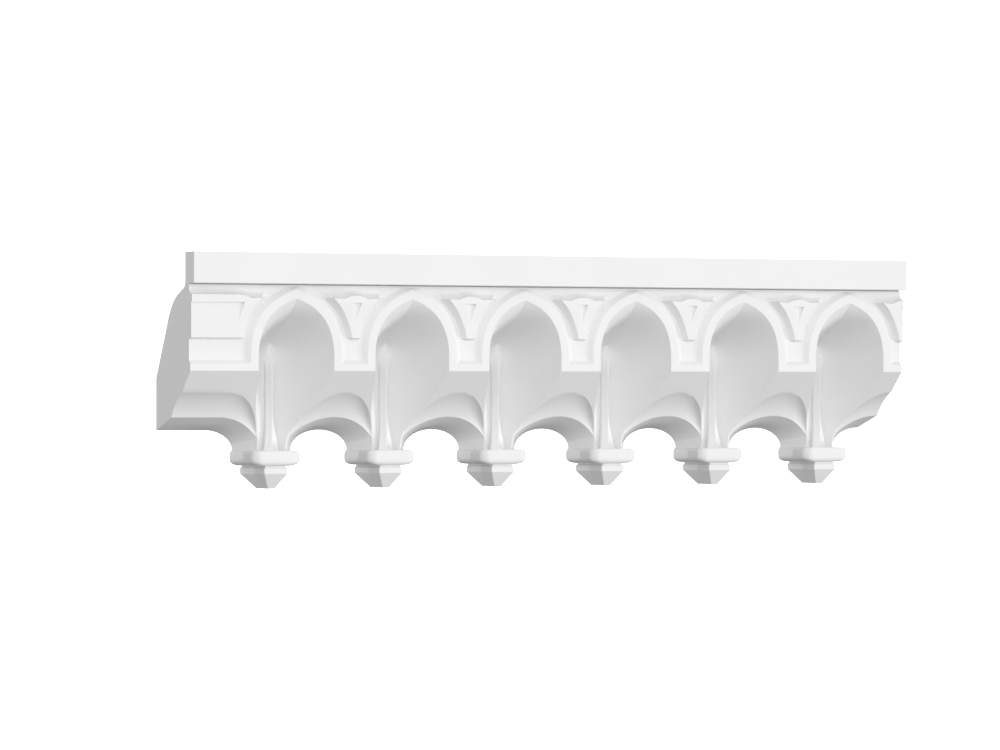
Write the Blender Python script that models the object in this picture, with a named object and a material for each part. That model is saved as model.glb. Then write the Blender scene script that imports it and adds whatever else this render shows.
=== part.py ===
"""A Gothic cornice of pointed niches over a row of small arches, with a pendant under each niche.

It is one moulded piece of flexible polyurethane, cut square at both ends. Units are metres. Points on
the moulding are given as (x, depth, down): x runs from the left end, depth comes forward from the wall
plane, and down is measured from the top edge. The function at() turns them into +Z up coordinates,
with the front facing -Y and the origin on the wall face.
"""

import math

import bmesh
import bpy
from mathutils import Vector

# Repeat and length
PITCH = 0.0800
BAYS = 6
PLAIN_END = 0.0320

# Heights of the bands, from the top down
FASCIA_HEIGHT = 0.0197
FIELD_HEIGHT = 0.0482
FILLET_HEIGHT = 0.0022
LEDGE_HEIGHT = 0.0045
SOFFIT_HEIGHT = 0.0395
NECK_HEIGHT = 0.0114
RING_HEIGHT = 0.0112
COLLAR_HEIGHT = 0.0040
TIP_HEIGHT = 0.0093

# The fascia from the wall, and how far each face stands behind it or in front of the field
FASCIA_DEPTH = 0.0670
FASCIA_THICKNESS = 0.0156
FASCIA_PROJECTION = 0.0090
FACE_RAISE = 0.0023
PANEL_TOP_RAISE = 0.0053
PANEL_FOOT_RAISE = 0.0040
NECK_DEPTH = 0.0183
NECK_LEAN = 0.077
SOFFIT_BEND = 0.0030

# Flat strip at the back that lies on the wall, and the curved back above it
WALL_STRIP_TOP = 0.0794
BACK_RISE = 0.0385
BACK_BELLY = 0.0220

# Niche and the hood around it
NICHE_HALF = 0.0258
NICHE_RISE = 0.0374
NICHE_SHOULDER = 0.0240
NICHE_CROWN = 0.0140
NICHE_PITCH_ANGLE = math.radians(20.0)
NICHE_BACK = 0.0125
NICHE_BACK_LEAN = 0.15
VAULT_FALL = 0.46
VAULT_DROP = 0.0070
VAULT_DROP_REACH = 0.0040
HOOD_FACE = 0.0053
HOOD_CHAMFER = 0.0031

# Raised panel in each spandrel, with its small gable and sunk triangle
GROOVE = 0.0010
PANEL_CHAMFER = 0.0033
PANEL_SHOULDER = 0.0089
PANEL_FOOT_HALF = 0.0027
GABLE_HALF = 0.0032
GABLE_SLOPE = 0.0022
GABLE_HEIGHT = 0.0026
TRIANGLE_HALF = 0.0035
TRIANGLE_HEIGHT = 0.0101
TRIANGLE_TOP = 0.0028
TRIANGLE_SINK = 0.0011

# Shaft on the back wall of each niche
SHAFT_HALF = 0.0030
SHAFT_STAND = 0.0067
SHAFT_FOOT_HALF = 0.0044
SHAFT_FOOT_HEIGHT = 0.0120
SHAFT_RISE = 0.0040
SHAFT_CROWN = 0.0015

# Arches between the pendants
NECK_WALL = 0.0013
NECK_BACK_HALF = 0.0203
ARCH_BACK_RISE = 0.0130
LIP_RISE = 0.0214
LIP_UPRIGHT = 0.0078
LIP_EDGE = 0.0002
LIP_SET_BACK = 0.0026
HOLLOW_FULLNESS = 1.1

# Pendant below each niche: plan corners of its ring, collar and tip
RING_BACK_HALF = 0.0219
RING_SIDE_HALF = 0.0166
RING_FRONT_DEPTH = 0.0294
RING_CORNER = 0.0057
COLLAR_BACK_HALF = 0.0146
COLLAR_SIDE_HALF = 0.0081
COLLAR_SIDE_START = 0.0090
COLLAR_FRONT_DEPTH = 0.0257
TIP_BACK_HALF = 0.0036
TIP_SIDE_HALF = 0.0025
TIP_SIDE_START = 0.0030
TIP_FRONT_DEPTH = 0.0176

# Where the wall mount lies below the top edge
MOUNT_DOWN = 0.0960

# Numbers of facets
ARCH_STEPS = 12
UPRIGHT_STEPS = 2
HOLLOW_STEPS = 3
NICHE_STEPS = 12
CORNER_STEPS = 3
PANEL_LEVELS = 7

# How far helper solids run past the faces that they cut or join
OVERLAP = 0.0015
CLEAR = 0.0100

# Sizes that follow
LENGTH = PLAIN_END + BAYS * PITCH
FIELD_DEPTH = FASCIA_DEPTH - FASCIA_PROJECTION
FACE_DEPTH = FIELD_DEPTH + FACE_RAISE
PANEL_TOP_DEPTH = FIELD_DEPTH + PANEL_TOP_RAISE
PANEL_FOOT_DEPTH = FIELD_DEPTH + PANEL_FOOT_RAISE
FIELD_FOOT = FASCIA_HEIGHT + FIELD_HEIGHT
LEDGE_TOP = FIELD_FOOT + FILLET_HEIGHT
LEDGE_FOOT = LEDGE_TOP + LEDGE_HEIGHT
SOFFIT_FOOT = LEDGE_FOOT + SOFFIT_HEIGHT
NECK_FOOT = SOFFIT_FOOT + NECK_HEIGHT
RING_FOOT = NECK_FOOT + RING_HEIGHT
COLLAR_FOOT = RING_FOOT + COLLAR_HEIGHT
TOTAL_HEIGHT = COLLAR_FOOT + TIP_HEIGHT
NICHE_APEX = FASCIA_HEIGHT + (HOOD_FACE + HOOD_CHAMFER) / math.cos(NICHE_PITCH_ANGLE)
NICHE_SPRING = NICHE_APEX + NICHE_RISE
PANEL_BASE_OFFSET = HOOD_FACE + HOOD_CHAMFER + GROOVE
PANEL_FACE_OFFSET = PANEL_BASE_OFFSET + PANEL_CHAMFER
PANEL_TOP = FASCIA_HEIGHT + PANEL_SHOULDER
NICHE_SHARE_AT_NECK = math.sqrt((NECK_DEPTH - NICHE_BACK) / (FACE_DEPTH - NICHE_BACK))
NECK_FRONT_HALF = NICHE_HALF * NICHE_SHARE_AT_NECK + NECK_WALL
NICHE_SHARES = [1.0, 0.97, 0.92, 0.84, 0.68, 0.5, 0.32, 0.16, 0.04]
AXES = [PLAIN_END + PITCH * (bay + 0.5) for bay in range(BAYS)]
CENTRES = [PLAIN_END + PITCH * bay for bay in range(BAYS + 1)]


def at(point):
    x, depth, down = point
    return Vector((x - LENGTH / 2, -depth, MOUNT_DOWN - down))


def mix(a, b, share):
    """The point that lies this share of the way from a to b."""
    return tuple(p + (q - p) * share for p, q in zip(a, b))


def mix_one(a, b, share):
    return a + (b - a) * share


def loft(bm, rings):
    """Adds one closed solid that runs through rings of equally many points."""
    rows = [[bm.verts.new(at(point)) for point in ring] for ring in rings]
    for row, after in zip(rows, rows[1:]):
        for i in range(len(row)):
            j = (i + 1) % len(row)
            bm.faces.new((row[i], row[j], after[j], after[i]))
    bm.faces.new(rows[0][::-1])
    bm.faces.new(rows[-1])


def solid_object(name, lofts):
    """An object of one or more closed solids, each given as its rings."""
    bm = bmesh.new()
    for rings in lofts:
        loft(bm, rings)
    bmesh.ops.remove_doubles(bm, verts=bm.verts, dist=1e-7)
    bmesh.ops.dissolve_degenerate(bm, edges=bm.edges, dist=1e-7)
    bmesh.ops.recalc_face_normals(bm, faces=bm.faces)
    mesh = bpy.data.meshes.new(name)
    bm.to_mesh(mesh)
    bm.free()
    obj = bpy.data.objects.new(name, mesh)
    bpy.context.scene.collection.objects.link(obj)
    return obj


def helper(name, lofts):
    """A solid that is only added to the cornice or cut from it."""
    obj = solid_object(name, lofts)
    obj.hide_render = True
    obj.display_type = "WIRE"
    return obj


# The pointed outline of the niche


def niche_point(t, offset):
    """A point (half-width, down) of the right half of the outline, from springing to apex, pushed out."""
    crown_x = NICHE_CROWN * math.cos(NICHE_PITCH_ANGLE)
    crown_down = NICHE_APEX + NICHE_CROWN * math.sin(NICHE_PITCH_ANGLE)
    knots = [
        (NICHE_HALF, NICHE_SPRING),
        (NICHE_HALF, NICHE_SPRING - NICHE_SHOULDER),
        (crown_x, crown_down),
        (0.0, NICHE_APEX),
    ]
    weights = [(1 - t) ** 3, 3 * t * (1 - t) ** 2, 3 * t * t * (1 - t), t**3]
    x = sum(w * knot[0] for w, knot in zip(weights, knots))
    down = sum(w * knot[1] for w, knot in zip(weights, knots))
    slopes = [(1 - t) ** 2, 2 * t * (1 - t), t * t]
    run = sum(s * (b[0] - a[0]) for s, a, b in zip(slopes, knots, knots[1:]))
    rise = sum(s * (b[1] - a[1]) for s, a, b in zip(slopes, knots, knots[1:]))
    size = math.hypot(run, rise)
    return x - offset * rise / size, down + offset * run / size


def niche_curve(offset, steps):
    """The right half of the outline, from springing to the point on the axis."""
    curve = [niche_point(step / steps, offset) for step in range(steps + 1)]
    if offset:
        x, down = curve[-1]
        curve.append((0.0, down - x * math.tan(NICHE_PITCH_ANGLE)))
    return curve


def outline_half_width(offset, down):
    """Half the width, at one level, of the niche outline pushed out by offset."""
    curve = niche_curve(offset, 60)
    if down >= curve[0][1]:
        return curve[0][0]
    for (x0, down0), (x1, down1) in zip(curve, curve[1:]):
        if down1 <= down <= down0:
            return x0 + (x1 - x0) * (down0 - down) / (down0 - down1)
    return 0.0


def niche_back(down):
    """Depth of the niche's back on its axis: upright below, and leaning forward above the wall strip."""
    return NICHE_BACK + NICHE_BACK_LEAN * max(0.0, WALL_STRIP_TOP - down)


def vault_ridge(depth):
    """Level of the vault's ridge: it drops quickly behind the mouth, then falls evenly to the back."""
    run = FACE_DEPTH - depth
    return NICHE_APEX + VAULT_FALL * run + VAULT_DROP * (1 - math.exp(-run / VAULT_DROP_REACH))


def neck_depth(down):
    """Depth of the neck above a pendant, which leans back a little towards its foot."""
    return NECK_DEPTH + NECK_LEAN * (NECK_FOOT - down)


def soffit_line():
    """The soffit as (depth, down): a straight slope that bends into the neck."""
    slope = (FACE_DEPTH - neck_depth(SOFFIT_FOOT)) / SOFFIT_HEIGHT
    line = [(FACE_DEPTH, LEDGE_FOOT)]
    for share in (-2.2, -1.2, -0.4, 0.4, 1.2, 2.2):
        down = SOFFIT_FOOT + share * SOFFIT_BEND
        sloping = FACE_DEPTH - (down - LEDGE_FOOT) * slope
        upright = neck_depth(down)
        bend = math.hypot(sloping - upright, SOFFIT_BEND)
        line.append(((sloping + upright + bend) / 2, down))
    line.append((NECK_DEPTH, NECK_FOOT))
    return line


SOFFIT_LINE = soffit_line()


def soffit_depth(down):
    """Depth of the soffit, or of the neck below it, at one level."""
    for (depth0, down0), (depth1, down1) in zip(SOFFIT_LINE, SOFFIT_LINE[1:]):
        if down <= down1:
            return depth0 + (depth1 - depth0) * (down - down0) / (down1 - down0)
    return NECK_DEPTH


# The solids


def body_section():
    """The section without carving, from the front of the top edge round to its back."""
    strip_foot = NECK_FOOT + OVERLAP
    back_top_depth = FASCIA_DEPTH - FASCIA_THICKNESS
    lean = BACK_BELLY / BACK_RISE
    front = [
        (FASCIA_DEPTH, 0.0),
        (FASCIA_DEPTH, FASCIA_HEIGHT),
        (FIELD_DEPTH, FASCIA_HEIGHT),
        (FIELD_DEPTH, FIELD_FOOT),
        (FACE_DEPTH, LEDGE_TOP),
        *SOFFIT_LINE,
        (NECK_DEPTH, strip_foot),
    ]
    # The back leans in from the wall strip, then curves over to the plate's foot.
    back = [
        (-OVERLAP, strip_foot),
        (-OVERLAP, WALL_STRIP_TOP + OVERLAP / lean),
        (BACK_BELLY, WALL_STRIP_TOP - BACK_RISE),
    ]
    over_rise = WALL_STRIP_TOP - BACK_RISE - FASCIA_HEIGHT
    for share in (0.83, 0.62, 0.4, 0.18, 0.05):
        fall = 0.1 + 0.45 * share + 0.45 * share**4
        back.append(
            (
                back_top_depth - (back_top_depth - BACK_BELLY) * share,
                FASCIA_HEIGHT + over_rise * fall,
            )
        )
    back += [(back_top_depth, FASCIA_HEIGHT), (back_top_depth, 0.0)]
    return front + back


def body():
    section = body_section()
    ends = (-CLEAR, LENGTH + CLEAR)
    return solid_object("cornice", [[[(x, *point) for point in section] for x in ends]])


def hood_plates():
    """A raised plate for each niche: the niche is cut out of it, and its chamfered rim is left."""
    slope = HOOD_CHAMFER / (FACE_DEPTH - FIELD_DEPTH)
    layers = [
        (FIELD_DEPTH - 3 * OVERLAP, HOOD_FACE + HOOD_CHAMFER + slope * OVERLAP),
        (FIELD_DEPTH - OVERLAP, HOOD_FACE + HOOD_CHAMFER + slope * OVERLAP),
        (FACE_DEPTH, HOOD_FACE),
    ]
    lofts = []
    for axis in AXES:
        rings = []
        for depth, offset in layers:
            right = [(NICHE_HALF + offset, LEDGE_TOP + OVERLAP), *niche_curve(offset, NICHE_STEPS)]
            points = [(axis + x, depth, max(down, FASCIA_HEIGHT - OVERLAP)) for x, down in right]
            points += [(2 * axis - x, depth, down) for x, depth, down in points[-2::-1]]
            rings.append(points)
        lofts.append(rings)
    return helper("hood_plates", lofts)


def panel_foot():
    """Level at which the spandrel panel's face has narrowed to its foot."""
    levels = [PANEL_TOP + (NICHE_SPRING - PANEL_TOP) * step / 200 for step in range(201)]
    for down in levels:
        if PITCH / 2 - outline_half_width(PANEL_FACE_OFFSET, down) <= PANEL_FOOT_HALF:
            return down
    return NICHE_SPRING


def panel_ring(centre, offset, top, foot, gable_half, gable_slope, gable_top, depth_at, plain):
    """One outline of a spandrel panel: sides that follow the hoods, and a gable on top."""
    side = []
    for level in range(PANEL_LEVELS + 1):
        down = foot + (top - foot) * level / PANEL_LEVELS
        side.append((PITCH / 2 - outline_half_width(offset, down), down))
    half = side + [(gable_half + gable_slope, top), (gable_half, gable_top)]
    right = [(centre + x, depth_at(down), down) for x, down in half]
    if plain:
        left = [(-CLEAR, depth_at(gable_top), gable_top), (-CLEAR, depth_at(foot), foot)]
    else:
        left = [(2 * centre - x, depth, down) for x, depth, down in right[::-1]]
    return right + left


def panel_face_depth(down):
    """The panel's face leans back a little towards its foot."""
    share = (down - PANEL_TOP) / (panel_foot() - PANEL_TOP)
    return PANEL_TOP_DEPTH + (PANEL_FOOT_DEPTH - PANEL_TOP_DEPTH) * share


def spandrel_panels():
    foot = panel_foot()
    face_gable = PANEL_TOP - GABLE_HEIGHT
    base_top = PANEL_TOP - GABLE_SLOPE
    lofts = []
    for index, centre in enumerate(CENTRES):
        plain = index == 0
        base = [
            panel_ring(
                centre,
                PANEL_BASE_OFFSET,
                base_top,
                foot + GROOVE,
                GABLE_HALF + GABLE_SLOPE / 2,
                GABLE_SLOPE,
                FASCIA_HEIGHT - OVERLAP,
                lambda down, depth=depth: depth,
                plain,
            )
            for depth in (FIELD_DEPTH - 3 * OVERLAP, FIELD_DEPTH - OVERLAP / 10)
        ]
        face = panel_ring(
            centre,
            PANEL_FACE_OFFSET,
            PANEL_TOP,
            foot,
            GABLE_HALF,
            GABLE_SLOPE,
            face_gable,
            panel_face_depth,
            plain,
        )
        lofts.append([*base, face])
    return helper("spandrel_panels", lofts)


def sunk_triangles():
    """A shallow triangle in each panel, deepest along its top edge."""
    top = PANEL_TOP + TRIANGLE_TOP
    point = top + TRIANGLE_HEIGHT
    lofts = []
    for index, centre in enumerate(CENTRES):
        left = -CLEAR if index == 0 else centre - TRIANGLE_HALF
        foot_left = -CLEAR if index == 0 else centre - TRIANGLE_HALF / 10
        rings = []
        for lift, sink in ((0.0, TRIANGLE_SINK), (CLEAR, -CLEAR)):
            top_depth = panel_face_depth(top) - sink
            point_depth = panel_face_depth(point) + lift
            rings.append(
                [
                    (left, top_depth, top),
                    (centre + TRIANGLE_HALF, top_depth, top),
                    (centre + TRIANGLE_HALF / 10, point_depth, point),
                    (foot_left, point_depth, point),
                ]
            )
        lofts.append(rings)
    return helper("sunk_triangles", lofts)


def niche_ring(axis, share, depth_at):
    """The niche's outline where it has narrowed to this share of its mouth."""
    back = niche_back(NICHE_SPRING)
    apex = vault_ridge(back + (FACE_DEPTH - back) * share**2)
    stretch = (NICHE_SPRING - apex) / NICHE_RISE
    half = [(NICHE_HALF * share, NECK_FOOT + 2 * OVERLAP), (NICHE_HALF * share, WALL_STRIP_TOP)]
    for x, down in niche_curve(0.0, NICHE_STEPS):
        half.append((x * share, NICHE_SPRING - (NICHE_SPRING - down) * stretch))
    right = [(axis + x, depth_at(down), down) for x, down in half]
    return right + [(2 * axis - x, depth, down) for x, depth, down in right[-2::-1]]


def niche_cutters():
    """Each niche is a stack of pointed arches, one behind the other, that narrow to the back."""
    lofts = []
    for axis in AXES:
        rings = [niche_ring(axis, 1.0, lambda down: FASCIA_DEPTH + CLEAR)]
        for share in NICHE_SHARES:
            rings.append(
                niche_ring(
                    axis,
                    share,
                    lambda down, share=share: mix_one(niche_back(down), FACE_DEPTH, share**2),
                )
            )
        lofts.append(rings)
    return helper("niche_cutters", lofts)


def lip_point(step):
    """A point (half-width, rise) of the arch's lip: upright at its foot, then an arc of a circle."""
    half = PITCH / 2 - NECK_FRONT_HALF
    if step <= UPRIGHT_STEPS:
        return half, LIP_UPRIGHT * step / UPRIGHT_STEPS
    height = LIP_RISE - LIP_UPRIGHT
    radius = (half**2 + height**2) / (2 * height)
    share = (step - UPRIGHT_STEPS) / (ARCH_STEPS - UPRIGHT_STEPS)
    turn = math.asin(half / radius) * (1 - share)
    return radius * math.sin(turn), LIP_RISE - radius * (1 - math.cos(turn))


def arch_curves(step):
    """The arch at one step from its foot (0) to its crown, as points (half-width, depth, down).

    It gives the back edge, the front lip, and the outer edge of the hollow on the sloping soffit.
    """
    turn = math.pi / 2 * step / ARCH_STEPS
    rise, reach = math.sin(turn), math.cos(turn)
    back = ((PITCH / 2 - NECK_BACK_HALF) * reach, 0.0, NECK_FOOT - ARCH_BACK_RISE * rise)
    lip_half, lip_rise = lip_point(step)
    lip_down = NECK_FOOT - lip_rise
    set_back = max(0.0, (SOFFIT_FOOT - lip_down) / (SOFFIT_FOOT - NECK_FOOT + LIP_RISE))
    lip_depth = soffit_depth(lip_down) - LIP_EDGE - LIP_SET_BACK * set_back
    lip = (lip_half, lip_depth, lip_down)
    outer_half = PITCH / 2 - NECK_FRONT_HALF + OVERLAP / 3
    outer_rise = NECK_FOOT - outer_crown()
    outer_down = NECK_FOOT - outer_rise * rise**HOLLOW_FULLNESS
    soffit = soffit_depth(outer_down) + OVERLAP / 30
    outer = (outer_half * reach**HOLLOW_FULLNESS, soffit, outer_down)
    return back, lip, outer


def outer_crown():
    """Level of the top of the hollow, a third of the way down the soffit."""
    return LEDGE_FOOT + SOFFIT_HEIGHT / 3


def hollow_point(lip, outer, share, turn):
    """A point of the hollow between its outer edge and the lip: it runs back first, then inward."""
    fullness = 0.35 + 0.45 * math.cos(turn) ** 2
    angle = math.pi / 2 * share
    along = share + fullness * (math.sin(angle) - share)
    across = share + fullness * (1 - math.cos(angle) - share)
    x = outer[0] + (lip[0] - outer[0]) * across
    depth = outer[1] + (lip[1] - outer[1]) * along
    down = outer[2] + (lip[2] - outer[2]) * across
    return x, depth, down


def arch_half(step):
    """Points of the cutter at one step, from behind the wall to in front of the fascia."""
    back, lip, outer = arch_curves(step)
    turn = math.pi / 2 * step / ARCH_STEPS
    column = [mix(back, lip, -0.1), lip]
    for layer in range(HOLLOW_STEPS, 0, -1):
        column.append(hollow_point(lip, outer, layer / (HOLLOW_STEPS + 1), turn))
    return [*column, outer, (outer[0], FASCIA_DEPTH + CLEAR, outer[2])]


def arch_cutters():
    columns = [arch_half(step) for step in range(ARCH_STEPS + 1)]
    below = NECK_FOOT + 2 * OVERLAP
    lofts = []
    for index, centre in enumerate(CENTRES):
        rings = []
        for layer in range(len(columns[0])):
            curve = [column[layer] for column in columns]
            foot_depth, crown_depth, crown = curve[0][1], curve[-1][1], curve[-1][2]
            right = [(centre + x, depth, down) for x, depth, down in curve]
            ring = [(right[0][0], foot_depth, below), *right]
            if index == 0:
                ring += [(-CLEAR, crown_depth, crown), (-CLEAR, crown_depth, below)]
            else:
                ring += [(2 * centre - x, depth, down) for x, depth, down in ring[-2::-1]]
            rings.append(ring)
        lofts.append(rings)
    return helper("arch_cutters", lofts)


def shafts():
    """A slender shaft of three facets on each niche's back wall, flared at its foot."""
    ridge = NICHE_BACK + SHAFT_STAND
    flank = NICHE_BACK + SHAFT_STAND / 2
    root = NICHE_BACK - OVERLAP
    upper = [(SHAFT_HALF * 1.2, root), (SHAFT_HALF, flank), (SHAFT_HALF / 5, ridge)]
    foot = [
        (SHAFT_FOOT_HALF * 1.1, root),
        (SHAFT_FOOT_HALF, NECK_DEPTH - OVERLAP),
        (SHAFT_FOOT_HALF * 0.7, NECK_DEPTH),
    ]
    top = NICHE_SPRING - SHAFT_RISE
    crown = [(SHAFT_HALF, root), (SHAFT_HALF / 2, flank), (SHAFT_HALF / 10, ridge - SHAFT_CROWN)]
    levels = [
        (top, crown),
        (top + SHAFT_CROWN, upper),
        (NECK_FOOT - SHAFT_FOOT_HEIGHT, upper),
        (NECK_FOOT + OVERLAP / 2, foot),
    ]
    lofts = []
    for axis in AXES:
        rings = []
        for down, half in levels:
            right = [(axis + x, depth, down) for x, depth in half]
            rings.append(right + [(2 * axis - x, depth, down) for x, depth, down in right[::-1]])
        lofts.append(rings)
    return helper("shafts", lofts)


def pendant_plan(back_half, side_half, side_start, front_depth, corner):
    """Half of a plan, from the back round to the front, with a rounded corner."""
    plan = [
        (back_half + (back_half - side_half) * OVERLAP / side_start, -OVERLAP),
        (side_half, side_start),
    ]
    for step in range(CORNER_STEPS + 1):
        turn = math.pi / 2 * step / CORNER_STEPS
        plan.append(
            (
                side_half - corner * (1 - math.cos(turn)),
                front_depth - corner * (1 - math.sin(turn)),
            )
        )
    return plan


def pendants():
    ring_side_start = COLLAR_SIDE_START * 1.2
    ring = pendant_plan(
        RING_BACK_HALF, RING_SIDE_HALF, ring_side_start, RING_FRONT_DEPTH, RING_CORNER
    )
    collar_corner = RING_CORNER / 12
    collar = pendant_plan(
        COLLAR_BACK_HALF, COLLAR_SIDE_HALF, COLLAR_SIDE_START, COLLAR_FRONT_DEPTH, collar_corner
    )
    tip = pendant_plan(
        TIP_BACK_HALF, TIP_SIDE_HALF, TIP_SIDE_START, TIP_FRONT_DEPTH, collar_corner
    )
    # Share of the ring's height, and how far its plan has drawn in to the collar's
    ring_profile = [(0.0, 0.16), (0.08, 0.03), (0.2, 0.0), (0.5, 0.0), (0.64, 0.1), (0.77, 0.32)]
    ring_profile += [(0.9, 0.66), (1.0, 1.0)]
    levels = []
    for share, drawn_in in ring_profile:
        plan = [mix(a, b, drawn_in) for a, b in zip(ring, collar)]
        levels.append((NECK_FOOT + RING_HEIGHT * share, plan))
    levels.append((COLLAR_FOOT, collar))
    levels.append((TOTAL_HEIGHT, tip))
    lofts = []
    for axis in AXES:
        rings = []
        for down, plan in levels:
            right = [(axis + x, depth, down) for x, depth in plan]
            rings.append(right + [(2 * axis - x, depth, down) for x, depth, down in right[::-1]])
        lofts.append(rings)
    return helper("pendants", lofts)


def trim_box():
    """What lies outside this box is cut off: both ends square, and the back flat on the wall."""
    corners = [(0.0, -CLEAR), (LENGTH, -CLEAR), (LENGTH, TOTAL_HEIGHT + CLEAR)]
    corners.append((0.0, TOTAL_HEIGHT + CLEAR))
    depths = (0.0, FASCIA_DEPTH + CLEAR)
    return helper("trim_box", [[[(x, depth, down) for x, down in corners] for depth in depths]])


def cornice_material():
    """White primed polyurethane, matt and even."""
    material = bpy.data.materials.new("primed_white")
    material.use_nodes = True
    shader = material.node_tree.nodes["Principled BSDF"]
    shader.inputs["Base Color"].default_value = (0.84, 0.84, 0.83, 1.0)
    shader.inputs["Roughness"].default_value = 0.62
    shader.inputs["Metallic"].default_value = 0.0
    return material


def main():
    for obj in list(bpy.data.objects):
        bpy.data.objects.remove(obj)
    cornice = body()
    steps = [
        ("UNION", hood_plates()),
        ("UNION", spandrel_panels()),
        ("DIFFERENCE", sunk_triangles()),
        ("DIFFERENCE", niche_cutters()),
        ("UNION", shafts()),
        ("DIFFERENCE", arch_cutters()),
        ("UNION", pendants()),
        ("INTERSECT", trim_box()),
    ]
    for operation, other in steps:
        modifier = cornice.modifiers.new(other.name, "BOOLEAN")
        modifier.operation = operation
        modifier.solver = "EXACT"
        modifier.object = other
    cornice.data.materials.append(cornice_material())


main()
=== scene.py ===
# %% [markdown]
# # A Gothic cornice of niches, arches and pendants
#
# The real object is one length of flexible polyurethane moulding, cast in a mould and primed white.
# Its carving repeats every 80 mm, and each repeat is the same on its left and on its right. So the
# whole front can be made from half a repeat: it is built once, as finely as needed, then mirrored
# and repeated. Sculpting the whole length would take far more faces and would never be as regular as
# a casting is.

import math

import bmesh
import bpy
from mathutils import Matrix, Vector


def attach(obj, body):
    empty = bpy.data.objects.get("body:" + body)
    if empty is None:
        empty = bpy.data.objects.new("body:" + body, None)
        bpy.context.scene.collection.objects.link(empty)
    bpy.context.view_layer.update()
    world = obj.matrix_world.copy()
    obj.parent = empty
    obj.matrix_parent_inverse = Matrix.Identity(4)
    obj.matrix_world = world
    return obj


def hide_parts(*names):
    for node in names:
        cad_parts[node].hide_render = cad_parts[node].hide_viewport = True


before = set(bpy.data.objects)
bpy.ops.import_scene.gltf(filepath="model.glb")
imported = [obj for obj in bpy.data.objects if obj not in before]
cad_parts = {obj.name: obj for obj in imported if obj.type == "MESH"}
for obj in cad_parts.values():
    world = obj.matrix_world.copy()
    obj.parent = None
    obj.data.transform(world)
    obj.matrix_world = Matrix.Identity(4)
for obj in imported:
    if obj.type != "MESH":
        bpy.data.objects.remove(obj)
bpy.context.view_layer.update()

# %% [markdown]
# ## The sizes
#
# All sizes are in millimetres. A point on the moulding is written (x, depth, down): x runs along it,
# depth comes forward from the wall, and down is measured from the top edge. A joiner would mark out a
# moulding in the same way, so the numbers can be read straight off a drawing.

# %% Lengths and levels
PITCH = 80.0
HALF = PITCH / 2
BAYS = 6
PLAIN_END = 32.0
LENGTH = PLAIN_END + BAYS * PITCH
MOUNT_DOWN = 96.0

FASCIA_FOOT = 19.7
FIELD_FOOT = 67.9
LEDGE_TOP = 70.1
LEDGE_FOOT = 74.6
SOFFIT_FOOT = 114.1
NECK_FOOT = 125.5
COLLAR_FOOT = 140.7
WALL_STRIP_TOP = 79.4
TOTAL_HEIGHT = 150.0
print("length", LENGTH, "mm, height", TOTAL_HEIGHT, "mm")

# %% Depths
FASCIA_DEPTH = 67.0
FASCIA_BACK = 51.4
FIELD_DEPTH = 58.0
FACE_DEPTH = 60.3
NECK_DEPTH = 18.3
PANEL_DEPTH = 63.3
PANEL_LOW_DEPTH = 62.0
NICHE_BACK = 12.5
SOCKET = 4.0
print("fascia stands", FASCIA_DEPTH - FIELD_DEPTH, "mm in front of the field")
print("raised parts are set", SOCKET, "mm into the field")


# %% A helper that turns rings of points into a closed solid
MERGE = 1e-7


def place(x, depth, down, start=0.0):
    """The point in the row frame, in metres, with x counted from start along the moulding."""
    return Vector((start + x - LENGTH / 2, -depth, MOUNT_DOWN - down)) / 1000


def loft(name, rings):
    """A closed solid through rings of equally many points, kept hidden because it only shapes others."""
    bm = bmesh.new()
    rows = [[bm.verts.new(place(*point)) for point in ring] for ring in rings]
    for row, after in zip(rows, rows[1:]):
        for i in range(len(row)):
            j = (i + 1) % len(row)
            bm.faces.new((row[i], row[j], after[j], after[i]))
    bm.faces.new(rows[0][::-1])
    bm.faces.new(rows[-1])
    bmesh.ops.remove_doubles(bm, verts=bm.verts, dist=MERGE)
    bmesh.ops.dissolve_degenerate(bm, edges=bm.edges, dist=MERGE)
    bmesh.ops.recalc_face_normals(bm, faces=bm.faces)
    mesh = bpy.data.meshes.new(name)
    bm.to_mesh(mesh)
    bm.free()
    obj = bpy.data.objects.new(name, mesh)
    bpy.context.scene.collection.objects.link(obj)
    obj.hide_render = True
    return obj


print("the mount is at", [round(value, 4) for value in place(LENGTH / 2, 0.0, MOUNT_DOWN)])


# %% Two helpers that draw outlines
def both_sides(half, axis=0.0):
    """A ring from its right half: the points in order, then their mirror images in reverse."""
    return half + [(2 * axis - x, depth, down) for x, depth, down in half[::-1]]


def rounded(corners, radii, steps=3):
    """A polygon's points with some corners rounded: radii holds one radius for each corner."""
    points = []
    for i, ((px, py), radius) in enumerate(zip(corners, radii)):
        if not radius:
            points.append((px, py))
            continue
        before = Vector(corners[i - 1]) - Vector((px, py))
        after = Vector(corners[(i + 1) % len(corners)]) - Vector((px, py))
        before.normalize()
        after.normalize()
        reach = radius / math.tan(before.angle(after) / 2)
        start = Vector((px, py)) + before * reach
        end = Vector((px, py)) + after * reach
        for step in range(steps + 1):
            t = step / steps
            point = start * (1 - t) ** 2 + Vector((px, py)) * 2 * t * (1 - t) + end * t * t
            points.append(tuple(point))
    return points


square = [(0, 0), (1, 0), (1, 1), (0, 1)]
print("a square with one round corner has", len(rounded(square, [0.2, 0, 0, 0])), "points")

# %% [markdown]
# ## The plain section
#
# Without its carving, the moulding is one section pulled along a line, as if it were run with a metal
# template in wet plaster: a tall fascia, a sunk field, a narrow ledge, and a soffit that slopes back to
# the wall. A thin shadow gap under the fascia draws the dark line that is seen there. The back leans
# forward from the wall strip, so that the piece weighs less and sits well in a corner that isn't quite
# square.

# %% Draw the soffit
NECK_LEAN = 0.077
SOFFIT_BEND = 3.0


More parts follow.
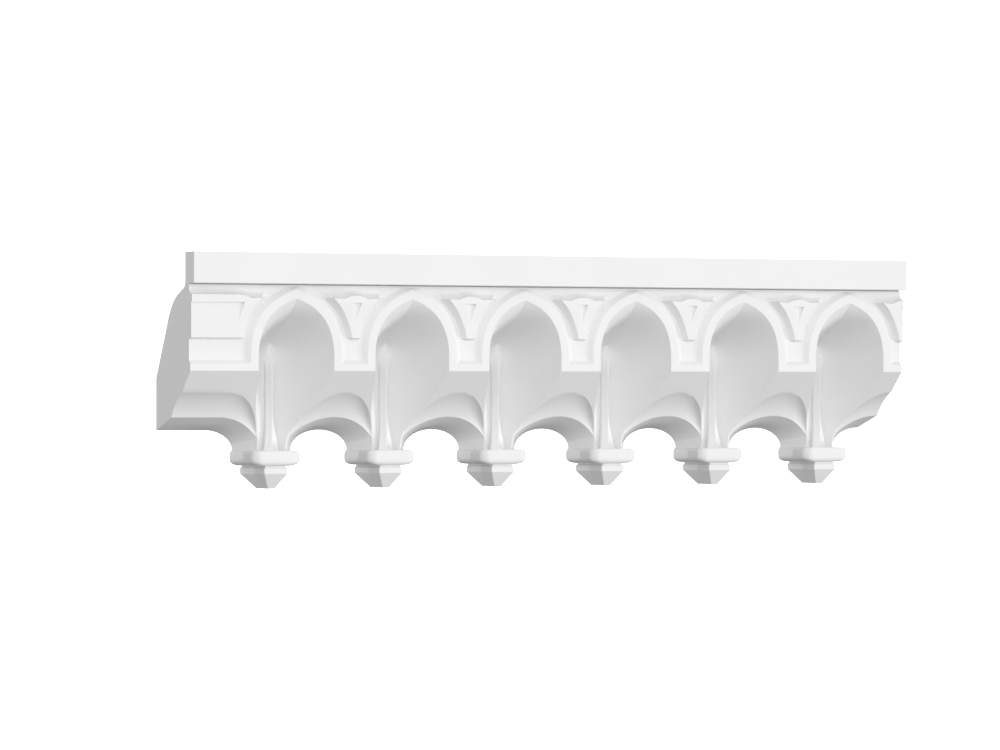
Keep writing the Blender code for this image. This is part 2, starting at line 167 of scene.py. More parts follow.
def neck_depth(down):
    """Depth of the neck above a pendant: it leans back a little towards its foot."""
    return NECK_DEPTH + NECK_LEAN * (NECK_FOOT - down)


def soffit_depth(down):
    """Depth of the sloping soffit, which bends gently into the neck."""
    slope = (FACE_DEPTH - neck_depth(SOFFIT_FOOT)) / (SOFFIT_FOOT - LEDGE_FOOT)
    sloping = FACE_DEPTH - (down - LEDGE_FOOT) * slope
    bend = math.hypot(sloping - neck_depth(down), SOFFIT_BEND)
    return min(FACE_DEPTH, (sloping + neck_depth(down) + bend) / 2)


soffit_levels = [76 + 3 * step for step in range(10)]
soffit_levels += [104.5 + step for step in range(16)]
soffit_levels += [122.5, 124]
print("soffit meets the neck at depth", round(soffit_depth(SOFFIT_FOOT), 1))

# %% List the corners of the section's front
GAP_HEIGHT, GAP_DEPTH = 0.7, 1.6
NECK_OVERLAP = 1.5
section = [
    (FASCIA_DEPTH, 0.0),
    (FASCIA_DEPTH, FASCIA_FOOT),
    (FIELD_DEPTH - GAP_DEPTH, FASCIA_FOOT),
    (FIELD_DEPTH - GAP_DEPTH, FASCIA_FOOT + GAP_HEIGHT),
    (FIELD_DEPTH, FASCIA_FOOT + GAP_HEIGHT),
    (FIELD_DEPTH, FIELD_FOOT),
    (FACE_DEPTH, LEDGE_TOP),
    (FACE_DEPTH, LEDGE_FOOT),
    *[(soffit_depth(down), down) for down in soffit_levels],
    (NECK_DEPTH, NECK_FOOT + NECK_OVERLAP),
    (2.0, NECK_FOOT + NECK_OVERLAP),
    (0.0, NECK_FOOT),
    (0.0, WALL_STRIP_TOP),
]
soft_corners = [0.5, 0.5, 0, 0, 0.1, 0, 0.35, 0.35]
radii = soft_corners + [0] * (len(section) - len(soft_corners))
print("front corners:", len(section))

# %% Draw the back and extrude the section
BELLY = (22.0, 40.9)
back = [BELLY]
for step in range(1, 12):
    share = 1 - step / 12
    fall = 0.1 + 0.45 * share + 0.45 * share**4
    depth = FASCIA_BACK - (FASCIA_BACK - BELLY[0]) * share
    back.append((depth, FASCIA_FOOT + (BELLY[1] - FASCIA_FOOT) * fall))
back += [(FASCIA_BACK, FASCIA_FOOT), (FASCIA_BACK, 0.0)]
outline = rounded(section + back, radii + [0] * (len(back) - 1) + [0.5])
PAST_LEFT, PAST_RIGHT = -1.1 * HALF, 2.2 * HALF
half_bay = loft("half_bay", [[(x, *point) for point in outline] for x in (PAST_LEFT, PAST_RIGHT)])
print("section of", len(outline), "points")

# %% [markdown]
# ## The pointed arch
#
# Every line of the front follows the same pointed arch: the niche's mouth, the hood round it, and the
# sides of the panel between two hoods. A real carver steps one template outward to draw them all. Here
# it is one Bezier curve, and offset moves a point along the curve's own normal, so the bands keep an
# even width all the way round.

# %% Draw the arch once, at any offset
NICHE_HALF = 25.8
APEX_ANGLE = math.radians(20.0)
HOOD_FACE = 5.3
HOOD_FOOT = 8.4
NICHE_APEX = FASCIA_FOOT + HOOD_FOOT / math.cos(APEX_ANGLE)
NICHE_SPRING = NICHE_APEX + 37.4
SIDE_PULL, APEX_PULL = 24.0, 14.0
KNOTS = [
    (NICHE_HALF, NICHE_SPRING),
    (NICHE_HALF, NICHE_SPRING - SIDE_PULL),
    (APEX_PULL * math.cos(APEX_ANGLE), NICHE_APEX + APEX_PULL * math.sin(APEX_ANGLE)),
    (0.0, NICHE_APEX),
]


def arch_point(t, offset=0.0):
    """A point on the right half of the arch, moved outward by offset along the curve's normal."""
    weights = [(1 - t) ** 3, 3 * t * (1 - t) ** 2, 3 * t * t * (1 - t), t**3]
    slopes = [(1 - t) ** 2, 2 * t * (1 - t), t * t]
    x = sum(w * k[0] for w, k in zip(weights, KNOTS))
    down = sum(w * k[1] for w, k in zip(weights, KNOTS))
    run = sum(s * (b[0] - a[0]) for s, a, b in zip(slopes, KNOTS, KNOTS[1:]))
    rise = sum(s * (b[1] - a[1]) for s, a, b in zip(slopes, KNOTS, KNOTS[1:]))
    size = math.hypot(run, rise)
    return x - offset * rise / size, down + offset * run / size


def arch_curve(offset, steps):
    """The right half of the arch from the springing to the point, which an outward offset carries up."""
    curve = [arch_point(step / steps, offset) for step in range(steps + 1)]
    if offset:
        x, down = curve[-1]
        curve.append((0.0, down - x * math.tan(APEX_ANGLE)))
    return curve


def arch_half_width(offset, down):
    """Half the width of the arch at one level."""
    curve = arch_curve(offset, 400)
    if down >= curve[0][1]:
        return curve[0][0]
    for (x0, down0), (x1, down1) in zip(curve, curve[1:]):
        if down1 <= down <= down0:
            return x0 + (x1 - x0) * (down0 - down) / (down0 - down1)
    return 0.0


print("arch from", round(NICHE_SPRING, 1), "up to", round(NICHE_APEX, 1), "mm below the top")

# %% [markdown]
# ## The hood
#
# Round each niche stands a flat band with a chamfered outer rim. It is easiest as a raised plate with
# the niche cut out afterwards, because then the band's inner edge is exactly the niche's mouth.

# %% Lay the hood's plate on the field
ARCH_STEPS = 40
HOOD_END = LEDGE_TOP + 1.5
HOOD_SUNK = 1.5
lean = (HOOD_FOOT - HOOD_FACE) / (FACE_DEPTH - FIELD_DEPTH)
hood_layers = [
    (FIELD_DEPTH - SOCKET, HOOD_FOOT + lean * HOOD_SUNK),
    (FIELD_DEPTH - HOOD_SUNK, HOOD_FOOT + lean * HOOD_SUNK),
    (FACE_DEPTH - 0.3, HOOD_FACE + lean * 0.3),
    (FACE_DEPTH - 0.1, HOOD_FACE + 0.1),
    (FACE_DEPTH, HOOD_FACE - 0.15),
]
hood_rings = []
for depth, offset in hood_layers:
    curve = [(NICHE_HALF + offset, HOOD_END), *arch_curve(offset, ARCH_STEPS)]
    right = [(x, depth, max(down, FASCIA_FOOT + GAP_HEIGHT)) for x, down in curve]
    hood_rings.append(right + [(-x, depth, down) for x, depth, down in right[-2::-1]])
hood = loft("hood", hood_rings)
print("hood band", HOOD_FACE, "mm wide, rim", round(HOOD_FOOT - HOOD_FACE, 1), "mm")

# %% [markdown]
# ## The panel in the spandrel
#
# Between two hoods sits a raised panel shaped like a V. Its sides follow the hoods, its top is a hollow
# that curves up to the field, and a small gable stands in the middle of that top edge. It is built
# row by row: each row is a line across the panel, and the rows of the hollow follow the top edge.

# %% Shape the panel's top edge and its hollow
GABLE = [(0.0, 26.7), (2.6, 26.9), (5.0, 27.5), (7.2, 28.5), (8.6, 28.9), (18.5, 28.4)]
HOLLOW_HEIGHT, HOLLOW_DEPTH = 5.9, 5.7


def top_edge(x):
    """Level of the panel's top edge at x from the panel's middle."""
    x = abs(x)
    for (x0, down0), (x1, down1) in zip(GABLE, GABLE[1:]):
        if x <= x1:
            return down0 + (down1 - down0) * (x - x0) / (x1 - x0)
    return GABLE[-1][1]


def hollow_depth(above):
    """Depth of the hollow at a height above the top edge: it leaves the field upright and flares out."""
    fall = max(0.0, 1 - above / HOLLOW_HEIGHT)
    return PANEL_DEPTH - HOLLOW_DEPTH * math.sqrt(max(0.0, 1 - fall * fall))


def panel_depth(down):
    """Depth of the panel's face: it sinks a little between two levels."""
    share = min(1.0, max(0.0, (down - 31.3) / 10.7))
    return PANEL_DEPTH + (PANEL_LOW_DEPTH - PANEL_DEPTH) * share


PANEL_BASE = 9.4
PANEL_FACE = 12.7
PANEL_FOOT = 54.0
sides = [round(HALF - arch_half_width(PANEL_FACE, down), 1) for down in (30, 40, PANEL_FOOT)]
print("panel face is", sides, "mm to each side")

# %% Lay the rows of the panel
ABOVE = [6.1, 5.8, 5.5, 4.9, 4.2, 3.4, 2.5, 1.6, 0.8, 0.25, 0.0]
LEVELS = [29.2, 30.2, 31.3, 33.0, 35.0, 37.0, 39.0, 42.0, 44.0, 46.0, 48.0, 50.0, 52.0, 53.4, 53.7]
INNER = [0, 0.16, 0.32, 0.47, 0.61, 0.73, 0.84, 0.93, 1.0]
GABLE_REACH = 8.6
SIDE_FOOT = 1.0


def panel_row(down_at, depth_at):
    """One row from the panel's middle to its side: inner points on the face, then the side's foot."""
    edge = down_at(16.0)
    face_half = HALF - arch_half_width(PANEL_FACE, edge)
    base_half = HALF - arch_half_width(PANEL_BASE, edge)
    widest = min(GABLE_REACH, face_half * 0.84)
    half = [(x, depth_at(x), down_at(x)) for x in [widest * share for share in INNER]]
    slope = (base_half - face_half) / (PANEL_DEPTH - FIELD_DEPTH)
    depth = depth_at(face_half)
    down = down_at(face_half)
    foot_half = face_half + (depth - FIELD_DEPTH + SIDE_FOOT) * slope
    half.append((face_half - 0.3, depth, down))
    half.append((face_half, depth - 0.12, down))
    half.append((foot_half, FIELD_DEPTH - SIDE_FOOT, down))
    half.append((foot_half, FIELD_DEPTH - SOCKET, down))
    return both_sides([(HALF + x, depth, down) for x, depth, down in half[::-1]], HALF)


panel_rows = [panel_row(lambda x, a=a: top_edge(x) - a, lambda x, a=a: hollow_depth(a)) for a in ABOVE]
for down in LEVELS:
    panel_rows.append(panel_row(lambda x, d=down: d, lambda x, d=down: panel_depth(d)))
panel_rows.append(panel_row(lambda x: PANEL_FOOT - 0.05, lambda x: PANEL_LOW_DEPTH - 0.35))
panel_rows.append(panel_row(lambda x: PANEL_FOOT + 0.9, lambda x: FIELD_DEPTH - 0.4))
panel = loft("panel", panel_rows)
print("panel rows:", len(panel_rows))

# %% Shape the tool for the sunk triangle
TRIANGLE_TOP, TRIANGLE_TIP = 31.5, 41.4
triangle_rings = []
for depth, half_width in ((PANEL_LOW_DEPTH, 3.3), (PANEL_DEPTH + 4.0, 4.3)):
    tip = half_width * 0.04
    corners = [(-half_width, TRIANGLE_TOP), (half_width, TRIANGLE_TOP)]
    corners += [(tip, TRIANGLE_TIP), (-tip, TRIANGLE_TIP)]
    triangle_rings.append([(HALF + x, depth, down) for x, down in corners])
triangle = loft("triangle", triangle_rings)
print("triangle sunk to depth", PANEL_LOW_DEPTH)

# %% [markdown]
# ## The niche
#
# The niche is a hollow with a pointed mouth. Cut across, parallel to the wall, it is a pointed arch at
# every depth: as wide as the mouth in front, and ever narrower towards the back, so that its plan is a
# parabola. The point of those arches makes the ridge that runs down the vault. The ridge drops a little
# right behind the mouth and then falls evenly. Stacking the arches gives a tool that is cut out of the
# moulding.

# %% Describe the niche's back and its ridge
NICHE_BACK_LEAN = 0.15
VAULT_FALL = 0.54
VAULT_DROP, VAULT_DROP_REACH = 3.1, 4.0
SIDE_LEVELS = [NECK_FOOT + 3, 122, 118, 114, 110, 105, 100, 95, 90, 85, WALL_STRIP_TOP, 76, 72.5, 69]


def niche_back(down):
    """Depth of the back on the niche's axis: upright below, leaning forward above the wall strip."""
    return NICHE_BACK + NICHE_BACK_LEAN * max(0.0, WALL_STRIP_TOP - down)


def vault_ridge(depth):
    """Level of the vault's ridge at one depth."""
    run = FACE_DEPTH - depth
    return NICHE_APEX + VAULT_FALL * run + VAULT_DROP * (1 - math.exp(-run / VAULT_DROP_REACH))


def niche_arch(share):
    """The pointed arch where the niche has narrowed to this share of its mouth."""
    back = niche_back(NICHE_SPRING)
    apex = vault_ridge(back + (FACE_DEPTH - back) * share**2)
    stretch = (NICHE_SPRING - apex) / (NICHE_SPRING - NICHE_APEX)
    half = [(NICHE_HALF * share, down) for down in SIDE_LEVELS]
    for x, down in arch_curve(0.0, ARCH_STEPS):
        half.append((x * share, NICHE_SPRING - (NICHE_SPRING - down) * stretch))
    return half


print("ridge at the back:", round(vault_ridge(niche_back(57)), 1), "mm below the top")

# %% Stack the arches of the niche
shares = [1.0, 0.988, 0.975, 0.96, 0.945, 0.93, 0.91, 0.89, 0.865, 0.84, 0.81, 0.78]
shares += [0.78 - 0.04 * step for step in range(1, 19)] + [0.03]
niche_rings = [[(x, FASCIA_DEPTH + 5, down) for x, down in niche_arch(1.0)]]
for share in shares:
    ring = []
    for x, down in niche_arch(share):
        back = niche_back(down)
        ring.append((x, back + (FACE_DEPTH - back) * share**2, down))
    niche_rings.append(ring)
whole_rings = []
for ring in niche_rings:
    whole_rings.append(ring + [(-x, depth, down) for x, depth, down in ring[-2::-1]])
niche = loft("niche", whole_rings)
print("niche arches:", len(niche_rings))

# %% [markdown]
# ## The shaft
#
# A thin shaft stands on the back wall of the niche. It has two facets that meet in a ridge, a blunt
# rounded head that dies into the wall under the vault, and a foot that flares out onto the neck.

# %% Stand the shaft on the back wall
SHAFT_RIDGE = 19.2
SHAFT_HALF = 3.0
shaft_levels = [
    (61.0, 1.5, 14.6, 1.0),
    (61.6, 2.6, 15.5, 1.0),
    (62.6, 3.6, 16.3, 0.95),
    (64.2, 4.2, 17.1, 0.85),
    (66.5, 4.3, 17.8, 0.7),
    (69.5, 4.0, 18.4, 0.5),
    (73.0, 3.5, 18.9, 0.3),
    (77.5, 3.1, SHAFT_RIDGE, 0.05),
    (82.0, SHAFT_HALF, SHAFT_RIDGE, 0.0),
    (90.0, SHAFT_HALF, SHAFT_RIDGE, 0.0),
    (104.0, SHAFT_HALF, SHAFT_RIDGE, 0.0),
    (110.0, 3.1, SHAFT_RIDGE, 0.0),
    (114.0, 3.4, SHAFT_RIDGE, 0.05),
    (118.0, 3.9, 19.15, 0.1),
    (122.0, 4.5, 19.05, 0.15),
    (NECK_FOOT + 0.7, 5.2, 19.0, 0.2),
]


def shaft_ring(down, half, ridge, roundness):
    """A plan of the shaft: its flank bulges from a straight facet as roundness goes from 0 to 1."""
    flank = ridge - 4.0
    if down < 100:
        flank += 2.6 * roundness
    else:
        flank += max(0.0, down - 106) * 0.15
    flank = min(flank, ridge - 0.5)
    plan = [(half * 1.12, 11.0), (half, flank)]
    for step in range(1, 6):
        share = step / 6
        bulge = roundness * 0.8 * math.sin(math.pi * share) * min(1.0, half / 4)
        plan.append((half + (0.3 - half) * share, flank + (ridge - flank) * share + bulge * 0.5))
    plan.append((0.3, ridge))
    return both_sides([(x, depth, down) for x, depth in plan])


shaft = loft("shaft", [shaft_ring(*level) for level in shaft_levels])
print("shaft", 2 * SHAFT_HALF, "mm wide")

# %% [markdown]
# ## The arches between the pendants
#
# Below the sloping soffit, a row of small arches opens between the pendants. Each has a hollowed rim,
# like the inside of a spoon, that runs from the soffit in to a sharp lip, and from the lip the underside
# slopes back to a smaller arch on the wall. The cutting tool is a stack of arches, one for each of
# those lines.

# %% Describe the arch's lines from foot to crown
LIP_HALF = HALF - 10.3
LIP_RISE = 21.4
LIP_UPRIGHT = 7.8
LIP_SET_BACK = 2.6
LIP_RADIUS = (LIP_HALF**2 + (LIP_RISE - LIP_UPRIGHT) ** 2) / (2 * (LIP_RISE - LIP_UPRIGHT))
OUTER_CROWN = LEDGE_FOOT + (SOFFIT_FOOT - LEDGE_FOOT) / 3
ARC_START = 0.2


def lip_point(share):
    """The lip at a share of the way from foot to crown: upright first, then an arc of a circle."""
    if share <= ARC_START:
        return LIP_HALF, LIP_UPRIGHT * share / ARC_START
    turn = math.asin(LIP_HALF / LIP_RADIUS) * (1 - share) / (1 - ARC_START)
    return LIP_RADIUS * math.sin(turn), LIP_RISE - LIP_RADIUS * (1 - math.cos(turn))


print("lip radius", round(LIP_RADIUS, 1), "mm")


# %% Hollow the rim between the soffit and the lip
def arch_lines(turn):
    """The arch's three lines at one turn: the wall's edge, the lip, and the rim on the soffit."""
    rise, reach = math.sin(turn), math.cos(turn)
    wall = ((HALF - 20.3) * reach, 0.0, NECK_FOOT - 13.0 * rise)
    lip_half, lip_rise = lip_point(turn / (math.pi / 2))
    lip_down = NECK_FOOT - lip_rise
    above = (SOFFIT_FOOT - lip_down) / (SOFFIT_FOOT - NECK_FOOT + LIP_RISE)
    set_back = LIP_SET_BACK * max(0.0, above)
    lip = (lip_half, soffit_depth(lip_down) - 0.15 - set_back, lip_down)
    outer_down = NECK_FOOT - (NECK_FOOT - OUTER_CROWN) * rise**1.1
    outer = ((LIP_HALF + 0.5) * reach**1.1, soffit_depth(outer_down) + 0.04, outer_down)
    return wall, lip, outer


def hollow_point(lip, outer, share, turn):
    """A point on the hollowed rim, at a share of the way from the outer line to the lip."""
    fullness = 0.35 + 0.45 * math.cos(turn) ** 2
    angle = math.pi / 2 * share
    along = share + fullness * (math.sin(angle) - share)
    across = share + fullness * (1 - math.cos(angle) - share)
    return (
        outer[0] + (lip[0] - outer[0]) * across,
        outer[1] + (lip[1] - outer[1]) * along,
        outer[2] + (lip[2] - outer[2]) * across,
    )


def arch_column(turn):
    """All points of the cutting tool at one turn, from behind the wall to in front of the fascia."""
    wall, lip, outer = arch_lines(turn)
    column = [tuple(w + (p - w) * -0.1 for w, p in zip(wall, lip)), lip]
    column += [hollow_point(lip, outer, step / 12, turn) for step in range(11, 0, -1)]
    return [*column, outer, (outer[0], FASCIA_DEPTH + 10, outer[2])]


print("points across the rim:", len(arch_column(0.0)))

# %% Cut tool for the arch
turns = [math.pi / 2 * step / 60 for step in range(61)]
columns = [arch_column(turn) for turn in turns]
arch_rings = []
for layer in range(len(columns[0])):
    line = [column[layer] for column in columns]
    right = [(HALF + x, depth, down) for x, depth, down in line]
    right.insert(0, (right[0][0], line[0][1], NECK_FOOT + 3))
    arch_rings.append(right + [(2 * HALF - x, depth, down) for x, depth, down in right[-2::-1]])
arch = loft("arch", arch_rings)
print("arch lip", round(2 * LIP_HALF, 1), "mm wide and", LIP_RISE, "mm high")

# %% [markdown]
# ## The pendant
#
# Under each niche hangs a pendant: a ring like a fat cushion, a collar with a hollow above it, and a
# blunt four-sided point. All three have flat backs against the wall. Their plans have the same number of
# points, so one solid can pass smoothly from one plan to the next.


# %% Draw the plans
def pendant_plan(back_half, side_half, side_start, front, corner, steps=8):
    """Half a plan: flat back, straight side, rounded front corner."""
    plan = [(back_half, 0.0), (side_half, side_start)]
    for step in range(steps + 1):
        turn = math.pi / 2 * step / steps
        plan.append((side_half - corner * (1 - math.cos(turn)), front - corner * (1 - math.sin(turn))))
    return plan


def between(a, b, share):
    """The plan at a share of the way from plan a to plan b."""
    return [tuple(p + (q - p) * share for p, q in zip(one, two)) for one, two in zip(a, b)]


ring_plan = pendant_plan(21.9, 16.6, 10.8, 29.4, 5.7)
collar_plan = pendant_plan(14.6, 8.1, 9.0, 25.7, 0.6)
recess_plan = pendant_plan(13.4, 7.2, 8.4, 24.9, 0.6)
tip_plan = pendant_plan(3.6, 2.5, 3.0, 17.6, 0.4)
CUSHION = [
    (125.5, 0.24), (125.75, 0.17), (126.1, 0.11), (126.6, 0.06), (127.3, 0.025), (128.2, 0.005),
    (129.4, 0.0), (130.6, 0.0), (131.6, 0.012), (132.5, 0.045), (133.2, 0.1), (133.8, 0.18),
    (134.3, 0.29), (134.7, 0.43), (135.0, 0.6), (135.2, 0.8),
]
print("cushion levels:", len(CUSHION))

# %% Stack the plans
stack = [(down, between(ring_plan, collar_plan, drawn_in)) for down, drawn_in in CUSHION]
stack += [
    (135.35, recess_plan),
    (136.45, recess_plan),
    (136.6, between(recess_plan, collar_plan, 0.8)),
    (136.8, collar_plan),
    (COLLAR_FOOT - 0.45, collar_plan),
    (COLLAR_FOOT - 0.1, between(collar_plan, tip_plan, 0.02)),
    (TOTAL_HEIGHT - 0.5, between(collar_plan, tip_plan, 0.97)),
    (TOTAL_HEIGHT - 0.12, tip_plan),
    (TOTAL_HEIGHT, between(tip_plan, recess_plan, -0.03)),
]
pendant_rings = [both_sides([(x, depth, down) for x, depth in plan]) for down, plan in stack]
pendant = loft("pendant", pendant_rings)
print("pendant levels:", len(stack))

# %% [markdown]
# ## Join, cut and mirror
#
# The parts are now joined and cut with Boolean modifiers, in the order in which a carver would work:
# raise first, then hollow out. The result is trimmed to exactly half a repeat, and the two trimmed
# faces are removed, so that mirrored copies meet point to point with no seam.

# %% Run the Booleans on half a repeat
for operation, tool in [
    ("UNION", hood), ("UNION", panel), ("DIFFERENCE", triangle), ("DIFFERENCE", niche),
    ("UNION", shaft), ("DIFFERENCE", arch), ("UNION", pendant),
]:
    modifier = half_bay.modifiers.new(tool.name, "BOOLEAN")
    modifier.operation = operation
    modifier.solver = "EXACT"
    modifier.object = tool
shaped = bpy.data.meshes.new_from_object(half_bay.evaluated_get(bpy.context.evaluated_depsgraph_get()))
print("half a repeat:", len(shaped.polygons), "faces")

# %% Cut it to exactly half a repeat
JOIN_WITHIN, CUT_WITHIN, SNAP_WITHIN = 2e-6, 3e-6, 5e-6
bm = bmesh.new()
bm.from_mesh(shaped)
bmesh.ops.remove_doubles(bm, verts=bm.verts, dist=JOIN_WITHIN)
bmesh.ops.dissolve_degenerate(bm, edges=bm.edges, dist=JOIN_WITHIN)
faulty = sum(not edge.is_manifold for edge in bm.edges)
print("edges that don't join two faces:", faulty)
LEFT_X = place(0, 0, 0).x
RIGHT_X = place(HALF, 0, 0).x
for x, side in ((LEFT_X, -1), (RIGHT_X, 1)):
    bmesh.ops.bisect_plane(
        bm, geom=bm.verts[:] + bm.edges[:] + bm.faces[:], dist=CUT_WITHIN,
        plane_co=(x, 0, 0), plane_no=(side, 0, 0), clear_outer=True,
    )
    for vertex in bm.verts:
        if abs(vertex.co.x - x) < SNAP_WITHIN:
            vertex.co.x = x
half_mesh = bpy.data.meshes.new("half_mesh")
bm.to_mesh(half_mesh)
bm.free()
print("open half:", len(half_mesh.polygons), "faces")

# %% Mirror and repeat it
whole = bmesh.new()
for bay in range(BAYS):
    axis = PLAIN_END + PITCH * (bay + 0.5)
    for side in (1, -1):
        before = len(whole.verts)
        whole.from_mesh(half_mesh)
        whole.verts.ensure_lookup_table()
        for vertex in whole.verts[before:]:
            vertex.co.x = (axis - LENGTH / 2) / 1000 + side * (vertex.co.x - LEFT_X)
    whole.verts.index_update()
bmesh.ops.remove_doubles(whole, verts=whole.verts, dist=1e-6)
bmesh.ops.recalc_face_normals(whole, faces=whole.faces)
print("repeats:", BAYS, "with", len(whole.faces), "faces")

# %% Run the plain end out and close both ends
LEFT_END, RIGHT_END = -LENGTH / 2000, LENGTH / 2000


def rim_at(x):
    """The open edges that lie in the plane across the moulding at x."""
    return [e for e in whole.edges if e.is_boundary and all(abs(v.co.x - x) < 1e-5 for v in e.verts)]


made = bmesh.ops.extrude_edge_only(whole, edges=rim_at(LEFT_END + PLAIN_END / 1000))["geom"]
for vertex in [g for g in made if isinstance(g, bmesh.types.BMVert)]:
    vertex.co.x = LEFT_END
for x in (LEFT_END, RIGHT_END):
    bmesh.ops.edgeloop_fill(whole, edges=rim_at(x))
bmesh.ops.recalc_face_normals(whole, faces=whole.faces)
open_edges = sum(e.is_boundary for e in whole.edges)
mesh = bpy.data.meshes.new("carved_cornice")
whole.to_mesh(mesh)
whole.free()
print("whole length:", len(mesh.polygons), "faces,", open_edges, "open edges")

# %% Put the finished mesh in the scene
SHARP_ANGLE = math.radians(24)
for tool in (half_bay, hood, panel, triangle, niche, shaft, arch, pendant):
    bpy.data.objects.remove(tool)
carved = bpy.data.objects.new("carved_cornice", mesh)
bpy.context.scene.collection.objects.link(carved)
mesh.shade_smooth()
mesh.set_sharp_from_angle(angle=SHARP_ANGLE)
weighted = carved.modifiers.new("even_shading", "WEIGHTED_NORMAL")
weighted.keep_sharp = True
weighted.weight = 60
print("triangles:", sum(len(p.vertices) - 2 for p in mesh.polygons))

# %% [markdown]
# ## The finish
#
# The real cornice is primed white in the mould. The primer is matt and almost even, with a very fine
# orange-peel texture and slow changes in how rough it is. A single flat white would look like paper, so
# two sizes of noise move the colour and the roughness a little, and a third one makes the fine bump.

# %% Mix the white primer
primer = bpy.data.materials.new("primed_white")
primer.use_nodes = True
nodes, links = primer.node_tree.nodes, primer.node_tree.links
shader = nodes["Principled BSDF"]
shader.inputs["Metallic"].default_value = 0.0
shader.inputs["Specular IOR Level"].default_value = 0.35
coordinates = nodes.new("ShaderNodeTexCoord")
CLOUD_SCALE, GRAIN_SCALE, PEEL_SCALE = 22.0, 160.0, 1400.0
PEEL_HEIGHT = 0.00008


def speckle(scale, detail):
    """Noise fixed to the object; a larger scale makes finer spots."""
    node = nodes.new("ShaderNodeTexNoise")
    node.inputs["Scale"].default_value = scale
    node.inputs["Detail"].default_value = detail
    links.new(coordinates.outputs["Object"], node.inputs["Vector"])
    return node


def spread(source, low, high):
    """The source's 0 to 1 turned into low to high."""
    node = nodes.new("ShaderNodeMapRange")
    node.inputs["To Min"].default_value = low
    node.inputs["To Max"].default_value = high
    links.new(source, node.inputs["Value"])
    return node.outputs["Result"]


print("finest grain repeats about every", round(1000 / PEEL_SCALE, 1), "mm")

# %% Join the noises to the primer
cloudy = speckle(CLOUD_SCALE, 3.0)
tone = nodes.new("ShaderNodeMix")
tone.data_type = "RGBA"
tone.inputs["A"].default_value = (0.80, 0.80, 0.795, 1.0)
tone.inputs["B"].default_value = (0.85, 0.85, 0.85, 1.0)
links.new(cloudy.outputs["Fac"], tone.inputs["Factor"])
links.new(tone.outputs["Result"], shader.inputs["Base Color"])
links.new(spread(speckle(GRAIN_SCALE, 2.0).outputs["Fac"], 0.5, 0.68), shader.inputs["Roughness"])
bump = nodes.new("ShaderNodeBump")
bump.inputs["Strength"].default_value = 0.25
bump.inputs["Distance"].default_value = PEEL_HEIGHT
links.new(speckle(PEEL_SCALE, 2.0).outputs["Fac"], bump.inputs["Height"])
links.new(bump.outputs["Normal"], shader.inputs["Normal"])
mesh.materials.append(primer)
print("primer nodes:", len(nodes))

# %% Attach it to the frame
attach(carved, "root")
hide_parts("cornice")
print(carved.name, "has", len(mesh.materials), "finish")

# %% [markdown]
# ## The studio
#
# The cornice is shown on its own in plain white, as in a catalogue. The room is one lathed sheet: a round
# floor that curves up into a wall and closes overhead. It goes all the way round, so the camera can walk
# about in it and sees no corner and no edge from any side. It glows by itself and doesn't light the
# cornice, so that the white behind stays even whatever the lamps do.

# %% Draw the room's profile
ROOM_RADIUS = 9.0
FLOOR_Z = -2.0
COVE = ROOM_RADIUS / 4
TURNS = 48
room_profile = [(ROOM_RADIUS * step / 8, FLOOR_Z) for step in range(1, 7)]
for step in range(1, 17):
    turn = math.pi / 2 * step / 16
    across = ROOM_RADIUS - COVE * (1 - math.sin(turn))
    room_profile.append((across, FLOOR_Z + COVE * (1 - math.cos(turn))))
for step in range(1, 16):
    turn = math.pi / 2 * step / 16
    room_profile.append((ROOM_RADIUS * math.cos(turn), FLOOR_Z + COVE + ROOM_RADIUS * math.sin(turn)))
print("room", 2 * ROOM_RADIUS, "m wide,", len(room_profile), "points in its profile")

# %% Turn the white room
room = bmesh.new()
angles = [2 * math.pi * i / TURNS for i in range(TURNS)]
rows = []
for r, z in room_profile:
    rows.append([room.verts.new((r * math.cos(angle), r * math.sin(angle), z)) for angle in angles])
for row, after in zip(rows, rows[1:]):
    for i in range(TURNS):
        room.faces.new((row[i], row[i - 1], after[i - 1], after[i]))
room.faces.new(rows[0])
room.faces.new(rows[-1][::-1])
backdrop_mesh = bpy.data.meshes.new("backdrop")
room.to_mesh(backdrop_mesh)
room.free()
backdrop_mesh.shade_smooth()
print("room faces:", len(backdrop_mesh.polygons))

# %% Paint the room white
backdrop = bpy.data.objects.new("backdrop", backdrop_mesh)
bpy.context.scene.collection.objects.link(backdrop)
paper = bpy.data.materials.new("white_paper")
paper.use_nodes = True
paper_shader = paper.node_tree.nodes["Principled BSDF"]
paper_shader.inputs["Base Color"].default_value = (0.95, 0.95, 0.95, 1)
paper_shader.inputs["Roughness"].default_value = 0.9
paper_shader.inputs["Emission Color"].default_value = (1, 1, 1, 1)
paper_shader.inputs["Emission Strength"].default_value = 1.0
backdrop_mesh.materials.append(paper)
paper.cycles.emission_sampling = "NONE"
backdrop.visible_diffuse = False
backdrop.visible_glossy = False
backdrop.visible_shadow = False
print(backdrop.name, "is painted with", paper.name)

# %% [markdown]
# ## The light
#
# The light in the photograph is soft and comes from the right and from the front, and even the shaded
# sides stay pale. One strong lamp would leave dark shadows in the niches. So two broad lamps give the
# light its direction, and the room adds a glow from above, from the left and from the front. Each part
# of that glow fades as it turns away from its direction, which is easier to adjust than a painted sky.

# %% Choose the lamps and the light from the room
LAMPS = [
    ("right_low", (0.85, -0.40, -0.30), 1.30),
    ("front", (0.10, -0.97, 0.20), 0.86),
]
LAMP_ANGLE = math.radians(25)
GLOWS = [((0, 0, 1), 0.56), ((-1, 0, 0), 0.56), ((0, -1, 0), 0.60)]
print("lamps:", len(LAMPS), "and glows:", len(GLOWS))


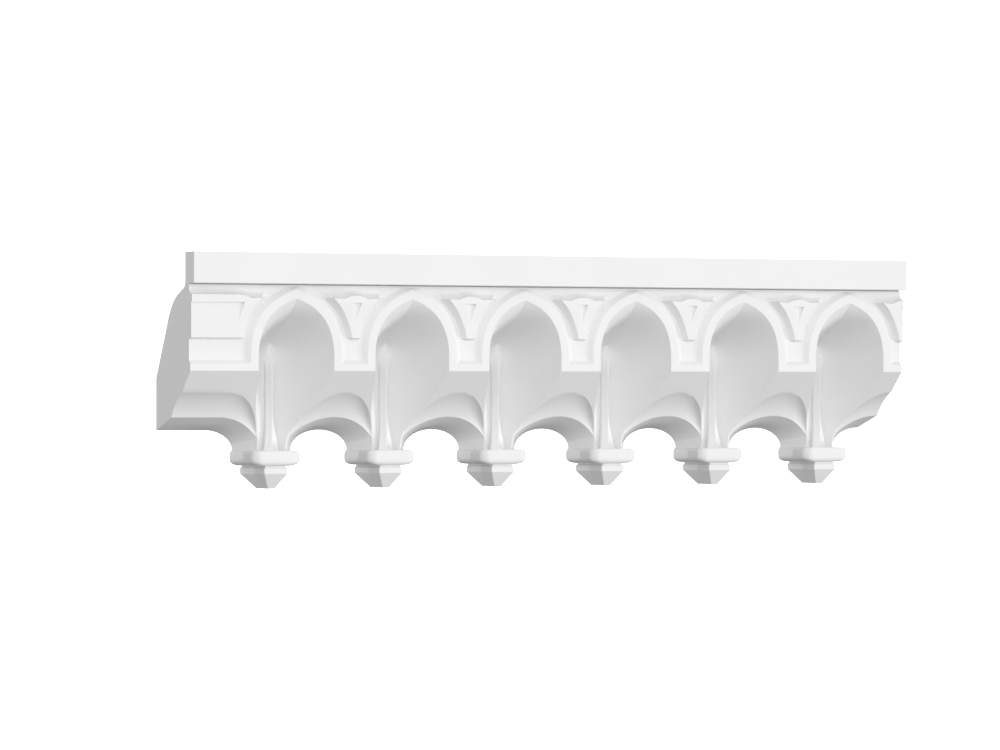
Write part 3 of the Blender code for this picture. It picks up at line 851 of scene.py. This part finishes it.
# %% Two soft lamps
def lamp(name, direction, power):
    """A distant lamp 25 degrees wide; direction points from the cornice towards it."""
    data = bpy.data.lights.new(name, "SUN")
    data.energy = power
    data.angle = LAMP_ANGLE
    obj = bpy.data.objects.new(name, data)
    bpy.context.scene.collection.objects.link(obj)
    obj.rotation_euler = Vector(direction).to_track_quat("Z", "Y").to_euler()
    return obj


for name, direction, power in LAMPS:
    print(lamp(name, direction, power).name, power)

# %% Light from the room
world = bpy.data.worlds.new("studio")
bpy.context.scene.world = world
world.use_nodes = True
air, wires = world.node_tree.nodes, world.node_tree.links
sky = air.new("ShaderNodeTexCoord")
glow = None
for direction, power in GLOWS:
    facing = air.new("ShaderNodeVectorMath")
    facing.operation = "DOT_PRODUCT"
    facing.inputs[1].default_value = [power * part for part in direction]
    wires.new(sky.outputs["Generated"], facing.inputs[0])
    kept = air.new("ShaderNodeMath")
    kept.operation = "MAXIMUM"
    kept.inputs[1].default_value = 0.0
    wires.new(facing.outputs["Value"], kept.inputs[0])
    if glow:
        total = air.new("ShaderNodeMath")
        wires.new(glow, total.inputs[0])
        wires.new(kept.outputs["Value"], total.inputs[1])
        glow = total.outputs["Value"]
    else:
        glow = kept.outputs["Value"]
wires.new(glow, air["Background"].inputs["Strength"])
air["Background"].inputs["Color"].default_value = (1, 1, 1, 1)
bpy.context.scene.view_settings.view_transform = "Standard"
print("nodes for the room's light:", len(air))

# %% [markdown]
# ## The camera
#
# The photograph was taken from far away with a long lens, so the lines of the moulding hardly converge.
# The camera stands 25 degrees round to the left and level with the soffit.

# %% Place the camera
SENSOR_WIDTH = 36.0
FOCAL_PIXELS, IMAGE_WIDTH = 4551.0, 1000.0
CAMERA_TILT, CAMERA_TURN = math.radians(90.165), math.radians(-25.0)
camera_data = bpy.data.cameras.new("camera")
camera_data.sensor_width = SENSOR_WIDTH
camera_data.lens = FOCAL_PIXELS * SENSOR_WIDTH / IMAGE_WIDTH
camera_data.clip_end = 50.0
camera = bpy.data.objects.new("camera", camera_data)
bpy.context.scene.collection.objects.link(camera)
CAMERA_X, CAMERA_DEPTH, CAMERA_UP = -1027.0, 2721.0, 64.5
camera.location = place(CAMERA_X, CAMERA_DEPTH, TOTAL_HEIGHT - CAMERA_UP)
camera.rotation_euler = (CAMERA_TILT, 0.0, CAMERA_TURN)
bpy.context.scene.camera = camera
print("lens", round(camera_data.lens, 1), "mm")
